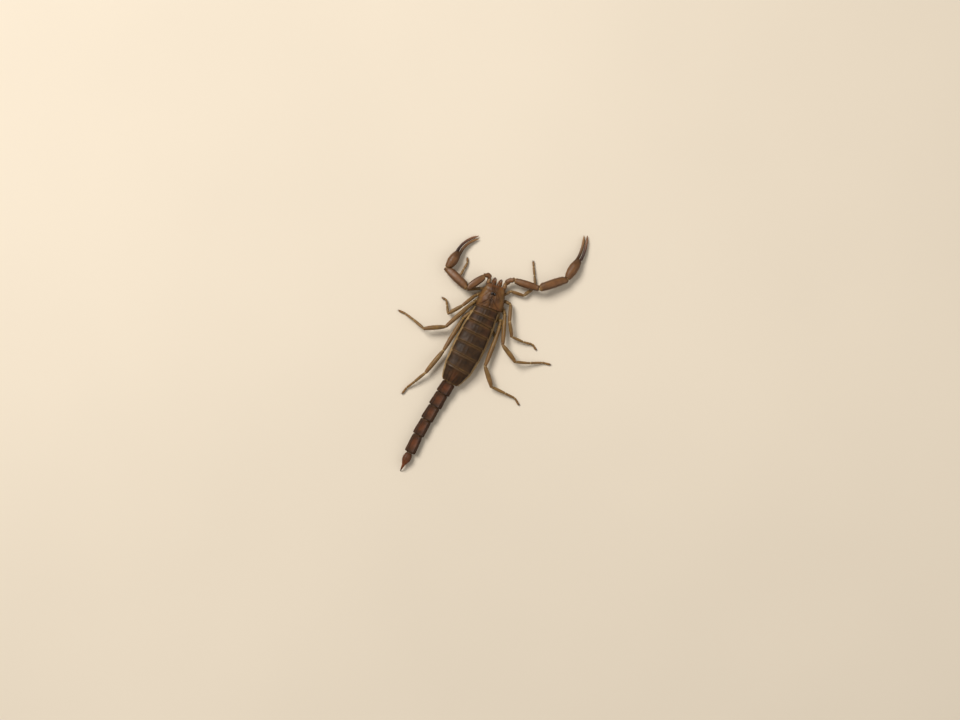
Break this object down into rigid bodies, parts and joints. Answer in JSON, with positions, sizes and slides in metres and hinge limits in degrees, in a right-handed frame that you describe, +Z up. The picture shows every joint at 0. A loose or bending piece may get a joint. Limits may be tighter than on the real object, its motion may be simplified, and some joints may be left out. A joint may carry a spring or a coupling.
{
  "type": "scorpion specimen",
  "caption": "Life-size still model of a slender-clawed bark scorpion lying flat, legs spread, pedipalps reaching forward and tail laid straight behind.",
  "frame": {"origin": "on the ground under the middle of the bounding box", "axes": "+Y forward, from tail to head, the way the belly line runs; +X to the animal's right; +Z up"},
  "size_m": [0.037, 0.0664, 0.0044],
  "materials": {
    "dark_plate": "waxy, finely granular near-black brown cuticle of the back plates",
    "carapace": "reddish brown granular cuticle",
    "membrane": "pale tan, finely pleated soft cuticle and satin belly plates",
    "leg": "satin olive brown cuticle",
    "palp": "satin reddish brown cuticle with darker keels",
    "finger": "glossy dark purple brown, redder at the tip",
    "tail": "keeled granular dark brown cuticle with reddish patches",
    "eye": "glossy black lens"
  },
  "bodies": {
    "root": {"carapace": "carapace", "chelicera_left": "carapace", "chelicera_right": "carapace", "coxae": "leg", "eye_left": "eye", "eye_right": "eye", "leg_1_left_femur": "leg", "leg_1_left_foot": "leg", "leg_1_left_patella": "leg", "leg_1_right_femur": "leg", "leg_1_right_foot": "leg", "leg_1_right_patella": "leg", "leg_2_left_femur": "leg", "leg_2_left_foot": "leg", "leg_2_left_patella": "leg", "leg_2_right_femur": "leg", "leg_2_right_foot": "leg", "leg_2_right_patella": "leg", "leg_3_left_femur": "leg", "leg_3_left_foot": "leg", "leg_3_left_patella": "leg", "leg_3_right_femur": "leg", "leg_3_right_foot": "leg", "leg_3_right_patella": "leg", "leg_4_left_femur": "leg", "leg_4_left_foot": "leg", "leg_4_left_patella": "leg", "leg_4_right_femur": "leg", "leg_4_right_foot": "leg", "leg_4_right_patella": "leg", "palp_left_coxa": "palp", "palp_left_femur": "palp", "palp_left_hand": "palp", "palp_left_movable_finger": "finger", "palp_left_patella": "palp", "palp_left_trochanter": "palp", "palp_right_coxa": "palp", "palp_right_femur": "palp", "palp_right_hand": "palp", "palp_right_movable_finger": "finger", "palp_right_patella": "palp", "palp_right_trochanter": "palp", "pectine_left": "membrane", "pectine_right": "membrane", "sternites": "membrane", "tail_1": "tail", "tail_2": "tail", "tail_3": "tail", "tail_4": "tail", "tail_5": "tail", "telson": "tail", "tergite_1": "dark_plate", "tergite_2": "dark_plate", "tergite_3": "dark_plate", "tergite_4": "dark_plate", "tergite_5": "dark_plate", "tergite_6": "dark_plate", "tergite_7": "dark_plate", "trunk": "membrane"}
  },
  "joints": []
}
